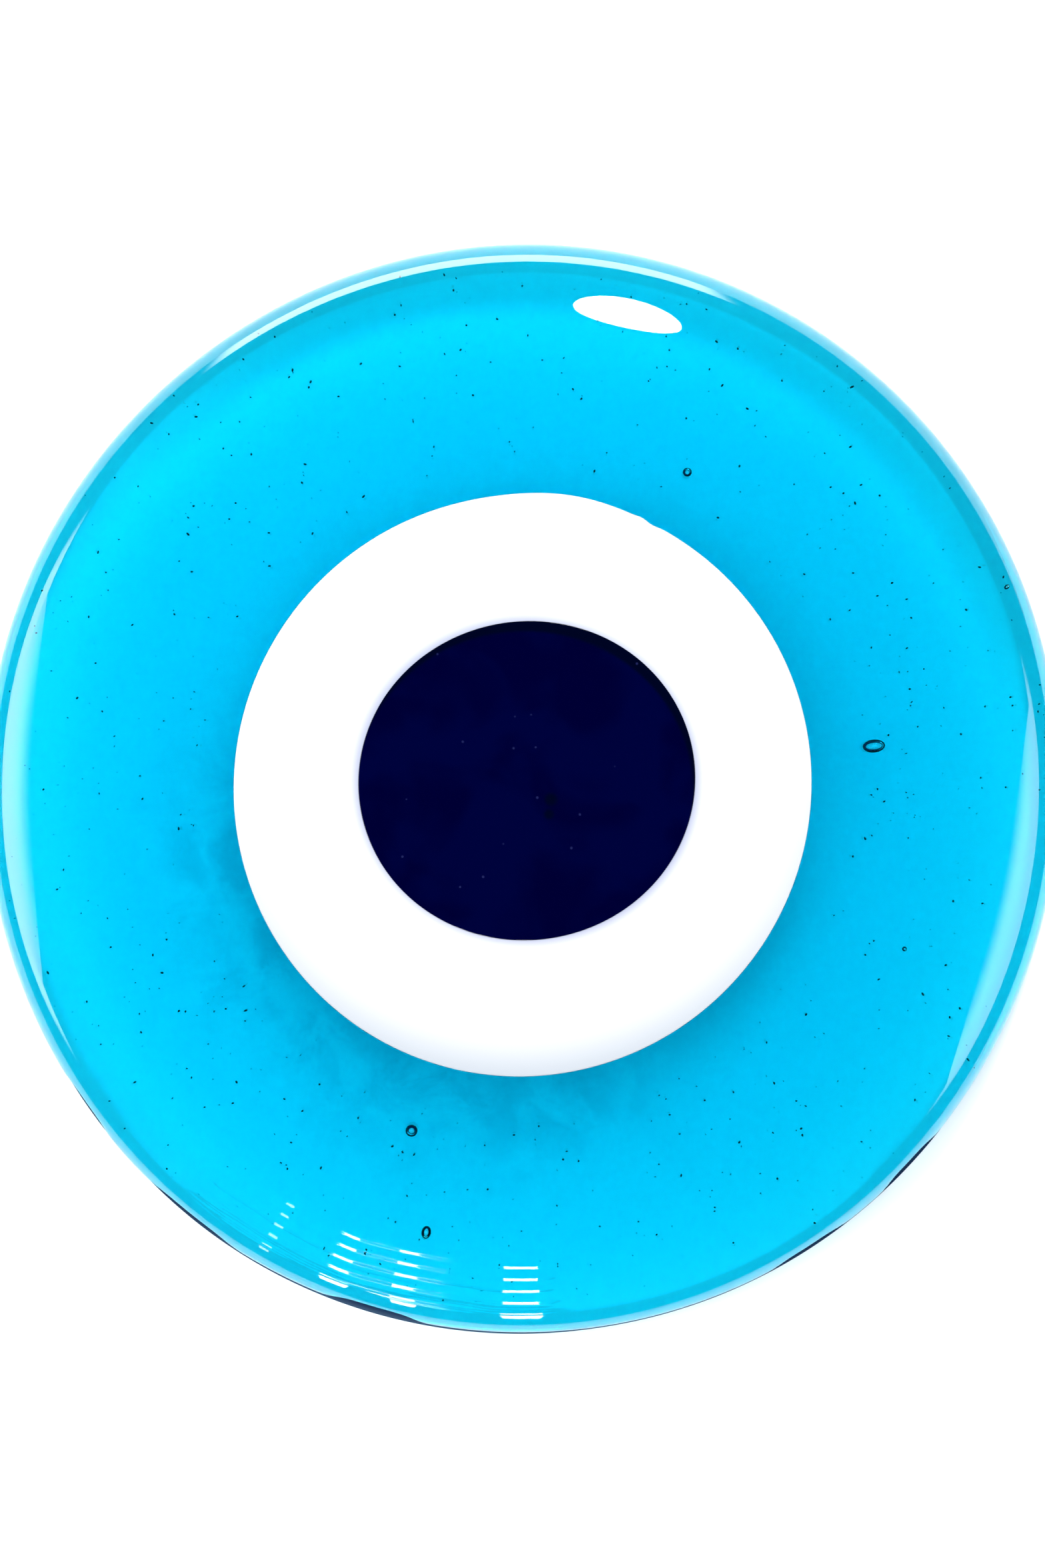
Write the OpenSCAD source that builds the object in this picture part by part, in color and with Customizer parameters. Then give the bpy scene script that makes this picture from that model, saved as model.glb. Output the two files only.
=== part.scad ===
// Evil eye ornament: a pressed disc of turquoise glass that lies on its flat back.
// A gather of white opal glass is sunk into its face, and a gather of cobalt glass into the white.
// The origin is the centre of the flat back, +Z leaves the face and +Y points to the top of the eye.

/* [Base] */
// Diameter of the turquoise base at its widest
base_d = 110; // [85:0.5:160]
// Thickness of the base at its flat middle
base_t = 10; // [8:0.1:16]
// Flat margin of the face round the iris
face_margin = 3; // [1:0.5:5]
// How far the face falls between its flat middle and the widest diameter
face_drop = 3.2; // [1:0.1:4]
// Radius of the rounded shoulder between the face and the edge
shoulder_r = 3.6; // [2:0.1:8]
// Radius of the small round between the edge and the flat back
back_r = 1; // [0.4:0.1:2]

/* [Iris] */
// Diameter of the white iris where it meets the base's face
iris_d = 58.4; // [46:0.2:72]
// Depth of the iris below the base's face
iris_depth = 4.2; // [3.2:0.1:6]
// How far the iris stands proud of the base's face
iris_proud = 0.2; // [0.1:0.05:0.6]
// Sideways offset of the iris from the base's axis
iris_x = 0; // [-3:0.1:3]
// Offset of the iris towards the top of the eye
iris_y = 0.5; // [-3:0.1:3]

/* [Pupil] */
// Diameter of the cobalt pupil where it meets the iris's face
pupil_d = 32.8; // [20:0.2:42]
// Depth of the pupil below the iris's face
pupil_depth = 2.6; // [1.2:0.1:3]
// How far the pupil stands proud of the iris
pupil_proud = 0.2; // [0.1:0.05:0.6]
// Sideways offset of the pupil from the base's axis
pupil_x = 0.3; // [-3:0.1:3]
// Offset of the pupil towards the top of the eye
pupil_y = 0.9; // [-3:0.1:3]

/* [Hidden] */
$fn = 180;

base_r = base_d / 2;
iris_face_z = base_t + iris_proud;

// The flat middle of the face reaches past the iris on the side it is offset to.
flat_r = iris_d / 2 + norm([iris_x, iris_y]) + face_margin;

// Outside the flat middle the face falls along an arc that leaves the flat smoothly.
face_r = cap_r(face_drop, base_r - flat_r);
face_z = base_t - face_r;

// The shoulder is as round as the edge's height leaves room for, and touches that arc from inside.
shoulder = min(shoulder_r, base_t - face_drop - back_r);
shoulder_x = base_r - shoulder;
shoulder_run = shoulder_x - flat_r;
shoulder_z = face_z + sqrt(pow(face_r - shoulder, 2) - pow(shoulder_run, 2));
shoulder_start = flat_r + shoulder_run * face_r / (face_r - shoulder);

// Radius of the circle whose cap is sag high and reaches x from its axis
function cap_r(sag, x) = (x * x + sag * sag) / (2 * sag);

// The part of a w by h block, standing on x, z, that is inside the circle of radius r round cx, cz
module arc_section(r, cx, cz, x, z, w, h) {
    intersection() {
        translate([cx, cz]) circle(r = r);
        translate([x, z]) square([w, h]);
    }
}

// A gather pressed into a face at height z: a round bowl below it, and a low upright step above
module gather(d, depth, proud, x, y, z) {
    bowl_r = cap_r(depth, d / 2);
    translate([x, y, z - depth])
        rotate_extrude()
            arc_section(bowl_r, 0, bowl_r, 0, 0, d / 2, depth + proud);
}

// The iris before the pupil is pressed in, which is also the shape of its seat in the base
module iris_gather() {
    gather(iris_d, iris_depth, iris_proud, iris_x, iris_y, base_t);
}

// The pupil, which is also the shape of its seat in the iris
module pupil_gather() {
    gather(pupil_d, pupil_depth, pupil_proud, pupil_x, pupil_y, iris_face_z);
}

// Half of the base's section: flat middle, falling face, round shoulder, edge, small round, back
module base_section() {
    square([flat_r, base_t]);
    arc_section(face_r, flat_r, face_z, flat_r, 0, shoulder_start - flat_r, base_t);
    arc_section(shoulder, shoulder_x, shoulder_z, shoulder_x, shoulder_z, shoulder, shoulder);
    square([base_r - back_r, shoulder_z]);
    translate([0, back_r]) square([base_r, shoulder_z - back_r]);
    translate([base_r - back_r, back_r]) circle(r = back_r);
}

module turquoise_base() {
    color([0, 0.72, 0.9])
        difference() {
            rotate_extrude() base_section();
            iris_gather();
        }
}

module white_iris() {
    color("white")
        difference() {
            iris_gather();
            pupil_gather();
        }
}

module cobalt_pupil() {
    color([0.01, 0.01, 0.2]) pupil_gather();
}

turquoise_base();
white_iris();
cobalt_pupil();
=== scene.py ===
import math

import bpy
import numpy as np
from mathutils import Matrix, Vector


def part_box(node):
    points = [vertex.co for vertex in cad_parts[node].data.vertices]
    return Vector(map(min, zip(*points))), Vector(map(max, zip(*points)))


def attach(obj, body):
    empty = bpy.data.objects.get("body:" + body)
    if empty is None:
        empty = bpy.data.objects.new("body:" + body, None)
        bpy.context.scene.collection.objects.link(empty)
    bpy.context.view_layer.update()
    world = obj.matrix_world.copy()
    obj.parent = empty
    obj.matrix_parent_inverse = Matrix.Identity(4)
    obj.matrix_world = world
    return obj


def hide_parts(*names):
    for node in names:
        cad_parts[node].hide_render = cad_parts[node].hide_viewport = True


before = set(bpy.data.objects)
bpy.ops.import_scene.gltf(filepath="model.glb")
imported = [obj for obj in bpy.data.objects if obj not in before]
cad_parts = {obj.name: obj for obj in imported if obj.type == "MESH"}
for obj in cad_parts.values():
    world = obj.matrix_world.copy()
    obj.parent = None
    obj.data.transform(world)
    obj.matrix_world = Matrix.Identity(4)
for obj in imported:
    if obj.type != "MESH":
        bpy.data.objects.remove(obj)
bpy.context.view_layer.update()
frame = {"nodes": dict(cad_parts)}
mm = 0.001  # every shape below is in millimetres until it becomes a mesh
print("frame loaded:", ", ".join(frame["nodes"]))

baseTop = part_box("turquoise_base")[1][2] / mm  # height of the pressed face round the iris
dice = np.random.default_rng(11)


def hexToLinear(code):
    # a colour as a paint program shows it, turned into the renderer's linear light
    parts = [int(code[i:i + 2], 16) / 255 for i in (0, 2, 4)]
    return [c / 12.92 if c <= 0.04045 else ((c + 0.055) / 1.055) ** 2.4 for c in parts] + [1.0]


def addNode(tree, kind, settings=None, links=None):
    # settings name a property or an input of the node; links name an input and the output that feeds it
    node = tree.nodes.new(kind)
    for name, value in (settings or {}).items():
        if isinstance(name, str) and hasattr(node, name):
            setattr(node, name, value)
        else:
            node.inputs[name].default_value = value
    for name, source in (links or {}).items():
        tree.links.new(source, node.inputs[name])
    return node


def newMaterial(name):
    material = bpy.data.materials.new(name)
    material.use_nodes = True
    material.node_tree.nodes.clear()
    return material, material.node_tree


def distanceFrom(tree, point, narrow=1):
    # how far a spot of the surface is from an upright line through point, in metres;
    # narrow shrinks everything sideways first, which makes a wide oval round
    coords = addNode(tree, "ShaderNodeTexCoord")
    flat = addNode(tree, "ShaderNodeVectorMath", {"operation": "MULTIPLY", 1: (narrow, 1, 0)},
                   {0: coords.outputs["Object"]})
    middle = (point[0] * narrow * mm, point[1] * mm, 0)
    away = addNode(tree, "ShaderNodeVectorMath", {"operation": "DISTANCE", 1: middle},
                   {0: flat.outputs[0]})
    return away.outputs["Value"]


def fromPupil(tree, right, up):
    # distance from the middle of the pupil, as if its oval outline were a round one;
    # right and up shift the middle, in mm
    narrow = 1 - 2 * pupil["waves"][0][1] / pupil["radius"]
    return distanceFrom(tree, (pupil["centre"][0] + right, pupil["centre"][1] + up), narrow)


def fade(tree, source, start, end):
    # 0 at start and 1 at end, both in the unit of source, with soft shoulders
    settings = {"interpolation_type": "SMOOTHSTEP", "From Min": start, "From Max": end}
    return addNode(tree, "ShaderNodeMapRange", settings, {"Value": source}).outputs[0]


def multiply(tree, a, b):
    return addNode(tree, "ShaderNodeMath", {"operation": "MULTIPLY"}, {0: a, 1: b}).outputs[0]


def mixColours(tree, amount, a, b):
    # a and b are hex colours or sockets
    node = addNode(tree, "ShaderNodeMix", {"data_type": "RGBA"}, {0: amount})
    for slot, colour in ((6, a), (7, b)):
        if isinstance(colour, str):
            node.inputs[slot].default_value = hexToLinear(colour)
        else:
            tree.links.new(colour, node.inputs[slot])
    return node.outputs[2]


def smoothStep(low, high, x):
    t = np.clip((x - low) / (high - low), 0, 1)
    return t * t * (3 - 2 * t)


def addMesh(name, points, faces, material, smooth=True):
    mesh = bpy.data.meshes.new(name)
    mesh.from_pydata([tuple(p) for p in points * mm], [], faces)
    mesh.update()
    mesh.polygons.foreach_set("use_smooth", [smooth] * len(mesh.polygons))
    mesh.materials.append(material)
    piece = bpy.data.objects.new(name, mesh)
    bpy.context.scene.collection.objects.link(piece)
    return piece


# every round is drawn with one set of directions, closer together where the ripples of the base are
ripples = {
    "from": 227, "to": 278,                   # degrees, the stretch of the rim that is rippled
    "inner": 47.6, "outer": 53.2,             # mm, how far in and out they reach
    "spacing": 1.2, "flank": 0.14,            # mm between ripples, and half the width of a flank
    "lean": 23,                               # degrees, how far a flank leans outwards
}
turns = np.radians(np.concatenate([np.arange(ripples["to"] - 360, ripples["from"], 0.75),
                                   np.arange(ripples["from"], ripples["to"], 0.16)]))
across = np.stack([np.cos(turns), np.sin(turns)], axis=1)


def outline(shape):
    # a hand-made round: a mean radius, slow waves (count, depth, direction) and
    # bumps (direction, width, height), in mm and degrees
    r = np.full_like(turns, shape["radius"])
    for count, depth, direction in shape["waves"]:
        r += depth * np.cos(count * (turns - math.radians(direction)))
    for direction, width, height in shape["bumps"]:
        away = (np.degrees(turns) - direction + 180) % 360 - 180
        r += height * np.exp(-(away / width) ** 2)
    return r


def ringAt(r, z, centre=(0, 0)):
    # one point for each direction; r and z are one number, or one for each direction
    ring = np.empty((len(turns), 3))
    ring[:, :2] = np.array(centre) + np.reshape(r, (-1, 1)) * across
    ring[:, 2] = z
    return ring


def skin(rings, startPoint, endPoint):
    # one closed skin over the rings, with a point at both ends
    n = len(turns)
    points = np.vstack([[startPoint]] + rings + [[endPoint]])
    last, end = 1 + (len(rings) - 1) * n, len(points) - 1
    faces = []
    for j in range(n):
        i = (j + 1) % n
        faces.append((0, 1 + j, 1 + i))
        for k in range(len(rings) - 1):
            a, b = 1 + k * n, 1 + (k + 1) * n
            faces.append((a + j, b + j, b + i, a + i))
        faces.append((last + j, end, last + i))
    return points, faces


iris = {
    "radius": 29.22, "centre": (-0.07, 0.28),  # mm
    "waves": [(2, 0.19, 58)],
    "bumps": [(80, 13, 0.32), (63.5, 1.6, -0.12), (66, 1.2, 0.1)],
    "depth": 4.2, "proud": 0.2,               # mm, under and over the pressed face
    "lowerShading": (23.2, 36),                   # mm from a point above the middle, where the painted shade starts and ends
    "milk": "cacacc",                         # the body of the opal glass
    "shade": "8e97a1",                        # painted shade, greying the white towards its lower rim
    "bleed": "7a839e",                        # where the cobalt shows through it
    "ior": 1.5, "roughness": 0.08,            # opal glass, softly polished by the fire
}
pupil = {
    "radius": 16.52, "centre": (0.35, 0.8),   # mm
    "waves": [(2, 0.47, 8.7)], "bumps": [],
    "depth": 2.6, "proud": 0.2,               # mm, under and over the white
    "cobalt": "000126", "thin": "000020",     # the body of the glass, and its streaks
    "deep": "000214",                         # painted shade under the upper rim, and painted dark reflections
    "fleck": "14183e", "dust": 2.6,           # pale dust on top, and mm between two grains of it
    "streak": 9,                              # mm across one streak
    "darkReflections": [(2.8, -1.1, 0.9), (2.6, -2.6, 0.7)],  # mm, painted dark reflections: place and radius
    "ior": 1.52, "roughness": 0.04,           # soda-lime glass, fire-polished
}

base = {
    "radius": 55.03,                          # mm
    "waves": [(1, 0.1, 70), (2, 0.38, 77), (3, 0.08, 50), (5, 0.04, 20)], "bumps": [],
    # flats worn into the very edge: direction and width in degrees, depth in mm
    "flats": [(-144, 3.5, 0.3), (-128, 5, 0.35), (-106, 4.5, 0.7), (-58, 4, 0.35), (-44, 3.5, 0.45)],
    "wornFrom": 53.2, "wornTo": 54.8,         # mm, the flats grow to their depth between these
    "flat": 33.0,                             # mm, where the face starts to fall
    "fall": 3.2,                              # mm, how far the face would fall out to the widest line
    "shoulder": (3.5, 0.8, 75),               # mm, mean radius of the round shoulder, how much it varies,
                                              # and the direction where it is widest
    "under": 1.0,                             # mm, radius of the small round at the back
    "glass": "00f1f8", "density": 400.0,      # the light that it lets through, and how strong the dye is
    "ior": 1.52,                              # soda-lime glass
    "shadowTint": "d0dfe6", "grain": 6,            # painted shadow of the iris in the cloud beside it, and mm across one puff
    "bandShade": "dcdfe2", "sideShade": "eef1f3",      # painted shade in the band under the top and over the right side
}
# air left in the glass: place, height and half sizes in mm, and the direction of the long axis in degrees
bubbles = [
    ((16.6, 32.0), 5.5, (0.37, 0.37, 0.3), 0),
    ((35.5, 4.3), 5.0, (1.0, 0.55, 0.4), 5),
    ((-11.3, -34.6), 6.0, (0.5, 0.5, 0.42), 0),
    ((-9.8, -44.8), 5.5, (0.57, 0.4, 0.35), 80),
    ((38.5, -16.2), 5.0, (0.2, 0.2, 0.2), 0),
    ((48.7, 20.3), 5.0, (0.22, 0.18, 0.18), 40),
]
# tiny bubbles left in the melt, drawn as opaque dark specks of painted shade
seeds = {
    "count": 760, "size": (0.035, 0.105),     # mm, half as wide as the smallest and the largest
    "inner": 33, "outer": 53,                 # mm from the middle, the ring that they are sown in
    "depth": (3, 6),                          # mm, their height over the table
    "clustered": 0.022, "spread": 1.3,        # share of them in clusters, and mm from a cluster's middle
    "clusters": [(38.3, 8.1), (39.3, -0.4), (-35.0, -2.8), (27.0, -33.0)],
}


def faceSection():
    # the face from the flat out to the widest line, ring by ring: distance, height and slope in radians
    mean, change, widest = base["shoulder"]
    s = mean + change * np.cos(turns - math.radians(widest))
    run = base["radius"] - base["flat"]
    faceR = (run ** 2 + base["fall"] ** 2) / (2 * base["fall"])
    lean = np.arcsin((run - s) / (faceR - s))  # where the wide arc hands over to the shoulder
    # wide rings over the smooth part, and fine ones over the ripples
    for part in np.append(np.linspace(0, 0.7, 40)[1:], np.linspace(0.7, 1, 120)[1:]):
        slope = lean * part
        yield base["flat"] + faceR * np.sin(slope), baseTop - faceR + faceR * np.cos(slope), slope
    for part in np.linspace(0, 1, 60)[1:]:
        slope = lean + (math.pi / 2 - lean) * part
        yield (base["radius"] - s + s * np.sin(slope),
               baseTop - faceR + (faceR - s) * np.cos(lean) + s * np.cos(slope), slope)


def rippleHeight(x, slope):
    # ripples left by the cooling mould: each has one flat flank that leans outwards
    r = ripples
    degrees = np.degrees(turns) % 360
    # mm that they wander in and out, so that no two stretches mirror a lamp alike
    wander = 0.12 * np.sin(turns * 17) + 0.02 * np.sin(turns * 41 + 2) + 0.015 * np.sin(turns * 67 + 1)
    step = (x + wander - r["inner"]) / r["spacing"]
    v = (0.5 - (step - np.floor(step))) * r["spacing"] / r["flank"]
    reach = r["spacing"] / 2 / r["flank"]
    profile = np.where(np.abs(v) < 1, v, np.sign(v) * (1 - smoothStep(1, reach, np.abs(v))))
    lean = np.radians(r["lean"] + 1.2 * np.sin(2.4 * np.floor(step)))  # no two ripples lean the same
    steep = np.tan(lean) - np.tan(np.minimum(slope, 1))
    inside = smoothStep(r["inner"] - 0.6, r["inner"] + 0.4, x)
    inside *= 1 - smoothStep(r["outer"] - 0.5, r["outer"], x)
    along = smoothStep(r["from"] + 2, r["from"] + 6, degrees)
    along *= 1 - smoothStep(r["to"] - 6, r["to"] - 2, degrees)
    return steep * r["flank"] * profile * inside * along


def wornEdge():
    # how much the flats take off the edge, in mm
    depth = np.zeros_like(turns)
    for direction, width, deep in base["flats"]:
        away = (np.degrees(turns) - direction + 180) % 360 - 180
        depth += deep * np.exp(-(away / width) ** 4)
    return depth


def baseRings():
    irisR, outerR, worn = outline(iris), outline(base), wornEdge()
    centre = np.array(iris["centre"])
    # the seat of the iris, from its foot out to its rim, then the flat round it
    rings = [ringAt(irisR * t, baseTop - iris["depth"] * (1 - t * t), centre)
             for t in np.linspace(0.05, 1, 20)]
    rings += [ringAt(irisR + (base["flat"] - irisR) * t, baseTop, centre * (1 - t))
              for t in np.linspace(0, 1, 8)[1:]]
    run, under = base["radius"] - base["flat"], base["under"]
    for x, z, slope in faceSection():
        # the section is stretched a little wherever the outline is wide
        r = base["flat"] + (x - base["flat"]) * (outerR - base["flat"]) / run
        r = np.minimum(r, outerR - worn * smoothStep(base["wornFrom"], base["wornTo"], x))
        rings.append(ringAt(r, z + rippleHeight(x, slope)))
    outerR = outerR - worn
    rings += [ringAt(outerR, z + (under - z) * t) for t in np.linspace(0, 1, 4)[1:]]
    rings += [ringAt(outerR - under * (1 - math.cos(t)), under * (1 - math.sin(t)))
              for t in np.linspace(0, math.pi / 2, 9)[1:]]
    rings += [ringAt((outerR - under) * t, 0) for t in np.linspace(1, 0.04, 16)[1:]]
    return rings


def turned(place, x, y, z, direction):
    # the point x, y from place, turned to this direction in degrees, at height z
    turn = math.radians(direction)
    return (place[0] + x * math.cos(turn) - y * math.sin(turn),
            place[1] + x * math.sin(turn) + y * math.cos(turn), z)


def cavity(place, height, half, direction, sides):
    # the wall of one bubble, wound to face its air
    points, faces = [], []
    levels = sides // 2
    for k in range(1, levels):
        for j in range(sides):
            up, about = math.pi * k / levels, 2 * math.pi * j / sides
            x = half[0] * math.sin(up) * math.cos(about)
            y = half[1] * math.sin(up) * math.sin(about)
            points.append(turned(place, x, y, height + half[2] * math.cos(up), direction))
    points += [(place[0], place[1], height + half[2]), (place[0], place[1], height - half[2])]
    top, foot = len(points) - 2, len(points) - 1
    for j in range(sides):
        i = (j + 1) % sides
        faces.append((top, i, j))
        faces.append((foot, foot - 1 - sides + j, foot - 1 - sides + i))
        for k in range(levels - 2):
            faces.append((k * sides + j, k * sides + i, (k + 1) * sides + i, (k + 1) * sides + j))
    return points, faces


def turquoiseGlass():
    # soda-lime glass coloured with copper, pressed hot: clear, deep cyan where thick and pale where thin,
    # with painted shadow of the iris in mottled puffs on its back, and painted shade near the upper right
    # rim and over its right side
    material, tree = newMaterial("turquoiseGlassPressed")
    coords = addNode(tree, "ShaderNodeTexCoord")
    puffs = {"Scale": 1 / (base["grain"] * mm), "Detail": 5.0, "Roughness": 0.62, "Distortion": 0.6}
    blotch = addNode(tree, "ShaderNodeTexNoise", puffs, {"Vector": coords.outputs["Object"]})
    split = addNode(tree, "ShaderNodeSeparateXYZ", links={0: coords.outputs["Object"]})
    atBack = fade(tree, split.outputs["Z"], 0.6 * mm, 0.1 * mm)
    outwards = distanceFrom(tree, (0, 0))
    # the cloud is painted shadow of the iris: it lies close to the iris, on its lower left
    lowerLeft = fade(tree, distanceFrom(tree, (-18, -26)), 44 * mm, 22 * mm)
    lowerLeft = multiply(tree, fade(tree, outwards, 45 * mm, 30 * mm), lowerLeft)
    cloud = multiply(tree, multiply(tree, fade(tree, blotch.outputs[0], 0.36, 0.64), atBack), lowerLeft)
    # painted shade: a band some 4 mm wide just inside the shoulder, on the upper right
    band = fade(tree, outwards, 52.8 * mm, 51.2 * mm)
    band = multiply(tree, fade(tree, outwards, 47 * mm, 50 * mm), band)
    upperRight = fade(tree, distanceFrom(tree, (19, 50)), 65 * mm, 36 * mm)
    band = multiply(tree, multiply(tree, band, atBack), upperRight)
    # painted shade over the right half of the back, growing towards the right edge
    side = multiply(tree, fade(tree, split.outputs["X"], 0, 42 * mm), atBack)
    tint = mixColours(tree, side, mixColours(tree, cloud, "ffffff", base["shadowTint"]), base["sideShade"])
    tint = mixColours(tree, band, tint, base["bandShade"])
    surface = addNode(tree, "ShaderNodeBsdfPrincipled",
                      {"Roughness": 0.0, "IOR": base["ior"], "Transmission Weight": 1.0},
                      {"Base Color": tint})
    volume = addNode(tree, "ShaderNodeVolumeAbsorption",
                     {"Color": hexToLinear(base["glass"]), "Density": base["density"]})
    addNode(tree, "ShaderNodeOutputMaterial",
            links={"Surface": surface.outputs[0], "Volume": volume.outputs[0]})
    return material


def opalGlass():
    # soda-lime glass made opaque with fluorides, pressed: dense even white with a soft shine, greyed by
    # painted shade towards its lower rim, and taking a breath of blue from the cobalt set into it
    material, tree = newMaterial("opalGlassPressed")
    above = (iris["centre"][0] - 0.5, iris["centre"][1] + 3.2)
    start, end = iris["lowerShading"]
    # painted shade, darker towards the lower rim
    rim = fade(tree, distanceFrom(tree, above), start * mm, end * mm)
    edge = pupil["radius"] - pupil["waves"][0][1]
    bleed = fade(tree, fromPupil(tree, 0, 0), (edge + 1.9) * mm, (edge - 0.9) * mm)
    colour = mixColours(tree, bleed, mixColours(tree, rim, iris["milk"], iris["shade"]), iris["bleed"])
    surface = addNode(tree, "ShaderNodeBsdfPrincipled",
                      {"Roughness": iris["roughness"], "IOR": iris["ior"]}, {"Base Color": colour})
    addNode(tree, "ShaderNodeOutputMaterial", links={"Surface": surface.outputs[0]})
    return material


def cobaltGlass():
    # soda-lime glass coloured with cobalt, pressed: so dense that it is near black with a navy glow, with
    # painted shade darkening a crescent under its upper rim and painted dark reflections towards its
    # lower right
    material, tree = newMaterial("cobaltGlassPressed")
    coords = addNode(tree, "ShaderNodeTexCoord")
    # painted shade: a darker crescent under the upper rim
    rimShade = fade(tree, fromPupil(tree, -0.25, -1.0), 15.8 * mm, 16.3 * mm)
    streaks = {"Scale": 1 / (pupil["streak"] * mm), "Detail": 3.0, "Distortion": 0.5}
    cloud = addNode(tree, "ShaderNodeTexNoise", streaks, {"Vector": coords.outputs["Object"]})
    colour = mixColours(tree, fade(tree, cloud.outputs[0], 0.42, 0.6), pupil["cobalt"], pupil["thin"])
    for x, y, radius in pupil["darkReflections"]:
        darkReflection = fade(tree, distanceFrom(tree, (x, y)), radius * mm, 0.4 * radius * mm)
        colour = mixColours(tree, darkReflection, colour, pupil["deep"])
    colour = mixColours(tree, rimShade, colour, pupil["deep"])
    dust = addNode(tree, "ShaderNodeTexVoronoi", {"Scale": 1 / (pupil["dust"] * mm)},
                   {"Vector": coords.outputs["Object"]})
    colour = mixColours(tree, fade(tree, dust.outputs["Distance"], 0.07, 0.03), colour, pupil["fleck"])
    surface = addNode(tree, "ShaderNodeBsdfPrincipled",
                      {"Roughness": pupil["roughness"], "IOR": pupil["ior"]}, {"Base Color": colour})
    addNode(tree, "ShaderNodeOutputMaterial", links={"Surface": surface.outputs[0]})
    return material


seat = (*iris["centre"], baseTop - iris["depth"])
points, faces = skin(baseRings(), seat, (0, 0, 0))
points, faces = list(map(tuple, points)), list(faces)
for place, height, half, direction in bubbles:
    wall, wallFaces = cavity(place, height, half, direction, 24)
    faces += [tuple(len(points) + v for v in face) for face in wallFaces]
    points += wall
turquoiseBase = addMesh("turquoiseBase", np.array(points), faces, turquoiseGlass())
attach(turquoiseBase, "root")
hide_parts("turquoise_base")
print("turquoise base pressed, with", len(bubbles), "bubbles")


def bubbleShadeFilm():
    # painted shade of trapped air, for the dark rims of the bubbles and the tiny seeds: dense, dark and
    # dull
    material, tree = newMaterial("paintedBubbleShade")
    surface = addNode(tree, "ShaderNodeBsdfPrincipled",
                      {"Base Color": hexToLinear("04101f"), "Roughness": 0.6})
    addNode(tree, "ShaderNodeOutputMaterial", links={"Surface": surface.outputs[0]})
    return material


def bubbleShadeRing(place, height, half, direction):
    # a ring of painted shade round the waist of a bubble
    points, faces = [], []
    rimShade = 0.2 * min(half[:2])
    count, sides = 36, 6
    for j in range(count):
        for k in range(sides):
            a, b = 2 * math.pi * j / count, 2 * math.pi * k / sides
            out = rimShade * math.cos(b)
            x, y = (half[0] + out) * math.cos(a), (half[1] + out) * math.sin(a)
            points.append(turned(place, x, y, height + rimShade * math.sin(b), direction))
            j2, k2 = (j + 1) % count, (k + 1) % sides
            faces.append((j * sides + k, j2 * sides + k, j2 * sides + k2, j * sides + k2))
    return points, faces


points, faces = [], []
bubbleShades = [bubbleShadeRing(*bubble) for bubble in bubbles]
small, large = seeds["size"]
while len(bubbleShades) < len(bubbles) + seeds["count"]:
    if dice.random() < seeds["clustered"]:
        middle = seeds["clusters"][dice.integers(len(seeds["clusters"]))]
        spot = np.array(middle) + dice.normal(0, seeds["spread"], 2)
    else:
        spot = dice.uniform(-seeds["outer"], seeds["outer"], 2)
    size = small + (large - small) * dice.random() ** 2  # most are tiny
    if seeds["inner"] < np.hypot(*spot) < seeds["outer"]:
        half = (size * dice.uniform(1, 2), size, size)
        direction = dice.uniform(0, 180)
        wall, wallFaces = cavity(spot, dice.uniform(*seeds["depth"]), half, direction, 8)
        bubbleShades.append((wall, [face[::-1] for face in wallFaces]))
for wall, wallFaces in bubbleShades:
    faces += [tuple(len(points) + v for v in face) for face in wallFaces]
    points += wall
glassSeeds = addMesh("glassSeeds", np.array(points), faces, bubbleShadeFilm())
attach(glassSeeds, "root")
print("seeds sown:", seeds["count"])


def gather(name, shape, top, material):
    # a pressed gather: a low pillow on top and a bowl below, which bites a hair deeper than its seat
    bite = 0.03  # mm
    r, centre = outline(shape), shape["centre"]
    steps = np.append(np.linspace(0.04, 0.985, 38), (0.998, 1))
    rings = [ringAt(r * t, top + shape["proud"] * (1 - t ** 2), centre) for t in steps]
    rings += [ringAt((r + bite) * t, top - bite - shape["depth"] * (1 - t * t), centre)
              for t in np.linspace(1, 0.04, 24)]
    points, faces = skin(rings, (*centre, top + shape["proud"]), (*centre, top - bite - shape["depth"]))
    return addMesh(name, points, faces, material)


whiteIris = gather("whiteIris", iris, baseTop, opalGlass())
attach(whiteIris, "root")
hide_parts("white_iris")

cobaltPupil = gather("cobaltPupil", pupil, baseTop + iris["proud"], cobaltGlass())
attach(cobaltPupil, "root")
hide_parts("cobalt_pupil")
print("iris and pupil set")

room = {
    "paper": "fcfdfe",                        # the white card on the table
    "shade": "20304a", "halfShade": "48586e",  # the card in the shade of the glass, and where that ends
    "shadeFrom": 205, "shadeTo": 345,         # degrees, the stretch of the edge with a shade beside it
    "shadeWidth": 0.6,                        # mm
    "shadeFade": (55.2, 56.1),                # mm from the middle, from the full shade to the half
    "dome": 0.55,                             # even light from all round
    "table": -0.04, "tableHalf": 2500,        # mm, its height under the glass and half its width
}
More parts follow.
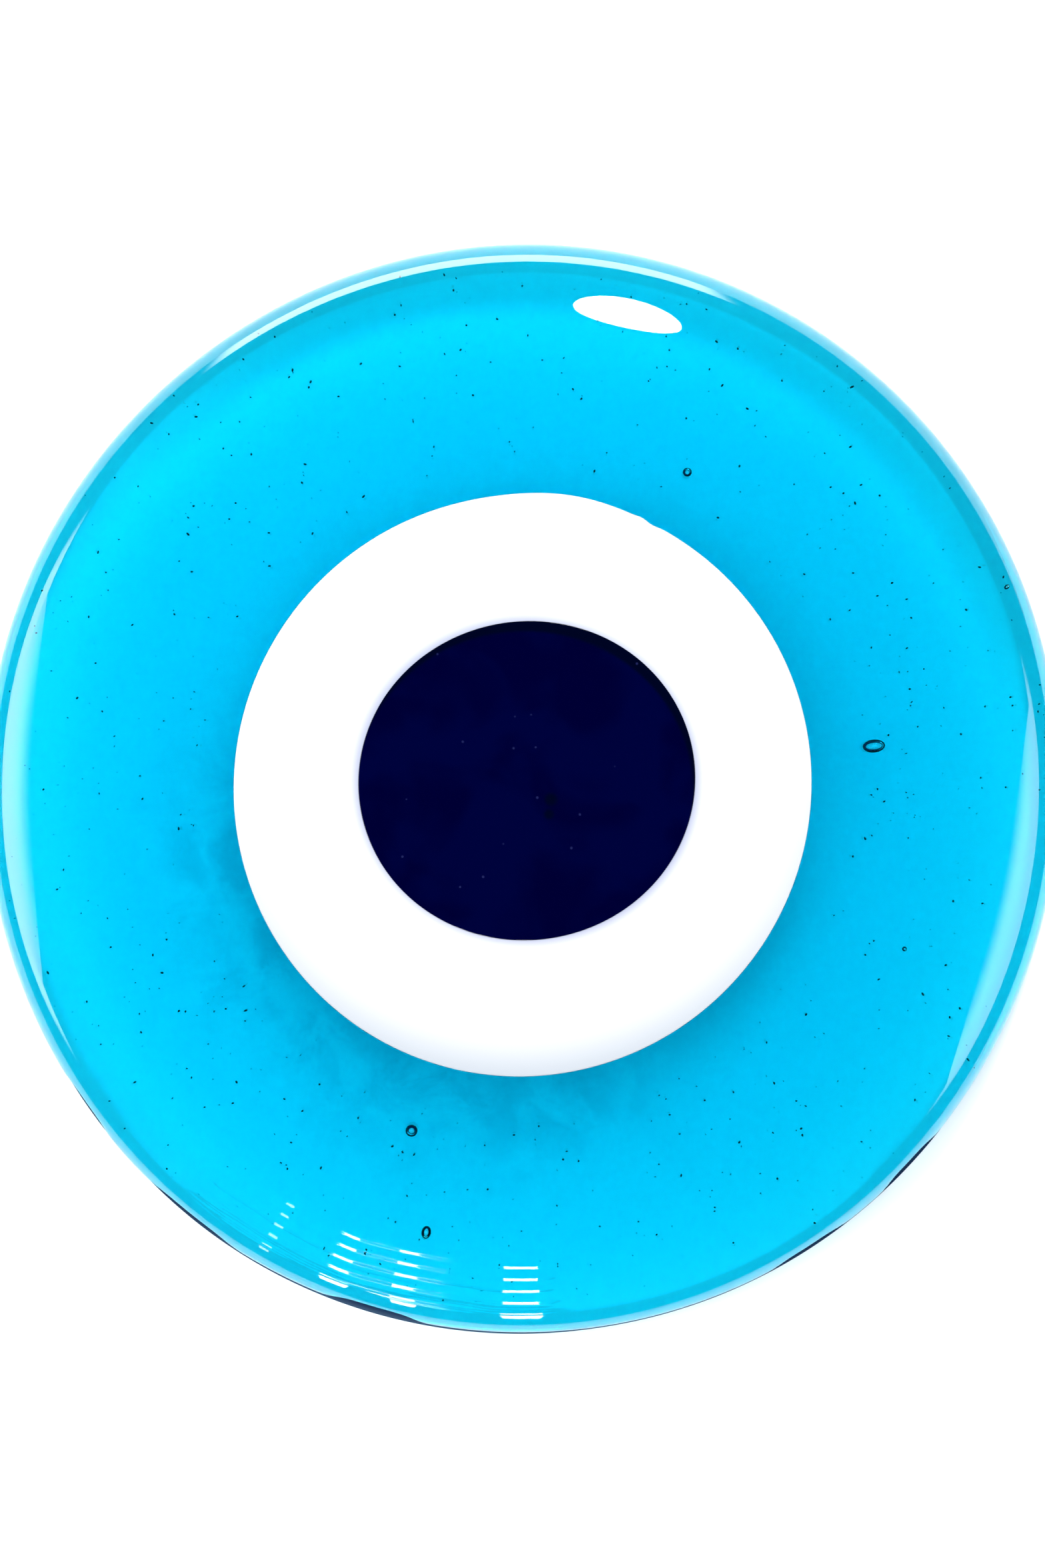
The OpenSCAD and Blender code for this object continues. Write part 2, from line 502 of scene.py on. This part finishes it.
# lamps: direction in degrees, degrees down from straight above, width and height in degrees, radiance,
# how soft the edges are, and what meets them: soft is the table and the clear glass, mirror is mirror
# images only, and all is both
lamps = {
    "overhead": (90, 2, 750, 30, 8.0, 0.3, "soft"),
    "topLight": (82, 55, 26, 20, 50.0, 0.3, "soft"),
    "windowLeft": (179, 44, 66, 25, 8.0, 0.3, "all"),
    "windowRight": (-12, 38.8, 56, 15, 4.8, 0.3, "all"),
    "lowStrip": (97, 80, 62, 28, 13.0, 0.2, "mirror"),
    "spot": (77.6, 28.8, 13.4, 4.6, 60.0, 0.0, "mirror"),
    "tubeA": (-90, 50, 4.6, 14, 30.0, 0.1, "mirror"),
    "tubeB": (-103.2, 50, 2.9, 14, 30.0, 0.1, "mirror"),
    "tubeC": (-111.3, 50, 3.4, 14, 30.0, 0.1, "mirror"),
    "tubeD": (-119.8, 50, 1.3, 9, 11.0, 0.1, "mirror"),
    "smear": (-104.5, 36.8, 14, 4.5, 18.0, 0.5, "mirror"),
}
roundLamps = ("spot", "windowLeft", "windowRight")


def addLamp(name, direction, down, width, height, radiance, softness, seen):
    light = bpy.data.lights.new(name, "AREA")
    far = 1.6  # metres to the middle of the disc
    light.shape = "ELLIPSE" if name in roundLamps else "RECTANGLE"
    filled = math.pi / 4 if name in roundLamps else 1
    down, direction = math.radians(down), math.radians(direction)
    light.size = 2 * far * math.tan(math.radians(width) * math.sin(down) / 2)
    light.size_y = 2 * far * math.tan(math.radians(height) / 2)
    light.energy = radiance * math.pi * light.size * light.size_y * filled
    if softness:
        light.use_nodes = True
        tree = light.node_tree
        place = addNode(tree, "ShaderNodeNewGeometry")
        split = addNode(tree, "ShaderNodeSeparateXYZ", links={0: place.outputs["Parametric"]})
        edges = [addNode(tree, "ShaderNodeMath", {"operation": "PINGPONG", 1: 0.5}, {0: split.outputs[k]})
                 for k in range(2)]
        glow = multiply(tree, *[fade(tree, edge.outputs[0], 0, softness / 2) for edge in edges])
        tree.links.new(glow, tree.nodes["Emission"].inputs["Strength"])
    lamp = bpy.data.objects.new(name, light)
    x, y, z = math.sin(down) * math.cos(direction), math.sin(down) * math.sin(direction), math.cos(down)
    lamp.location = far * Vector((x, y, z))
    lamp.rotation_euler = (-lamp.location).to_track_quat("-Z", "Y").to_euler()
    lamp.visible_glossy = seen != "soft"
    lamp.visible_diffuse = lamp.visible_transmission = seen != "mirror"
    lamp.visible_camera = False
    bpy.context.scene.collection.objects.link(lamp)


for name, settings in lamps.items():
    addLamp(name, *settings)

world = bpy.data.worlds.new("room")
bpy.context.scene.world = world
world.cycles_visibility.glossy = False  # a dark ceiling, so the pressed face shows no veil
world.use_nodes = True
world.node_tree.nodes.clear()
dome = addNode(world.node_tree, "ShaderNodeBackground", {"Color": (1, 1, 1, 1), "Strength": room["dome"]})
addNode(world.node_tree, "ShaderNodeOutputWorld", links={"Surface": dome.outputs[0]})

material, tree = newMaterial("paperWhite")  # matt white card: no shine at all
surface = addNode(tree, "ShaderNodeBsdfPrincipled",
                  {"Base Color": hexToLinear(room["paper"]), "Roughness": 1.0, "Specular IOR Level": 0.0})
addNode(tree, "ShaderNodeOutputMaterial", links={"Surface": surface.outputs[0]})
half, under = room["tableHalf"], room["table"]
corners = np.array([(x * half, y * half, under) for x, y in ((-1, -1), (1, -1), (1, 1), (-1, 1))])
table = addMesh("table", corners, [(0, 1, 2, 3)], material, smooth=False)

# the table is darkest right against the lower edge of the glass, where it sees no light
material, tree = newMaterial("paperInShade")
near, far = room["shadeFade"]
close = fade(tree, distanceFrom(tree, (0, 0)), near * mm, far * mm)
shade = mixColours(tree, close, room["shade"], room["halfShade"])
surface = addNode(tree, "ShaderNodeBsdfPrincipled",
                  {"Roughness": 1.0, "Specular IOR Level": 0.0}, {"Base Color": shade})
addNode(tree, "ShaderNodeOutputMaterial", links={"Surface": surface.outputs[0]})
degrees = np.degrees(turns) % 360
lower = np.argsort(degrees)
lower = lower[(degrees[lower] > room["shadeFrom"]) & (degrees[lower] < room["shadeTo"])]
grow = room["shadeWidth"] * np.sin(np.linspace(0, math.pi, len(lower))) ** 0.3  # tapers off at both ends
outer = outline(base)
outer[lower] += grow
onTable = under + 0.005  # mm, a hair over the card
inner = ringAt(outline(base) - 0.8, onTable)[lower]  # it starts well under the glass
outer = ringAt(outer, onTable)[lower]
count = len(lower)
faces = [(count + k, count + k + 1, k + 1, k) for k in range(count - 1)]
contactShade = addMesh("contactShade", np.vstack([inner, outer]), faces, material, smooth=False)

camera = bpy.data.objects.new("camera", bpy.data.cameras.new("camera"))
away, frameHeight = 650, 158.1  # mm, from the face to the lens and the height of what it sees there
camera.location = Vector((-0.08, 0.46, baseTop + iris["proud"] + away)) * mm
camera.data.sensor_width = 36
camera.data.lens = 36 * away / frameHeight
camera.data.clip_start = 0.01
bpy.context.scene.collection.objects.link(camera)
bpy.context.scene.camera = camera
bpy.context.scene.view_settings.view_transform = "Standard"
print("room, lights and camera set")
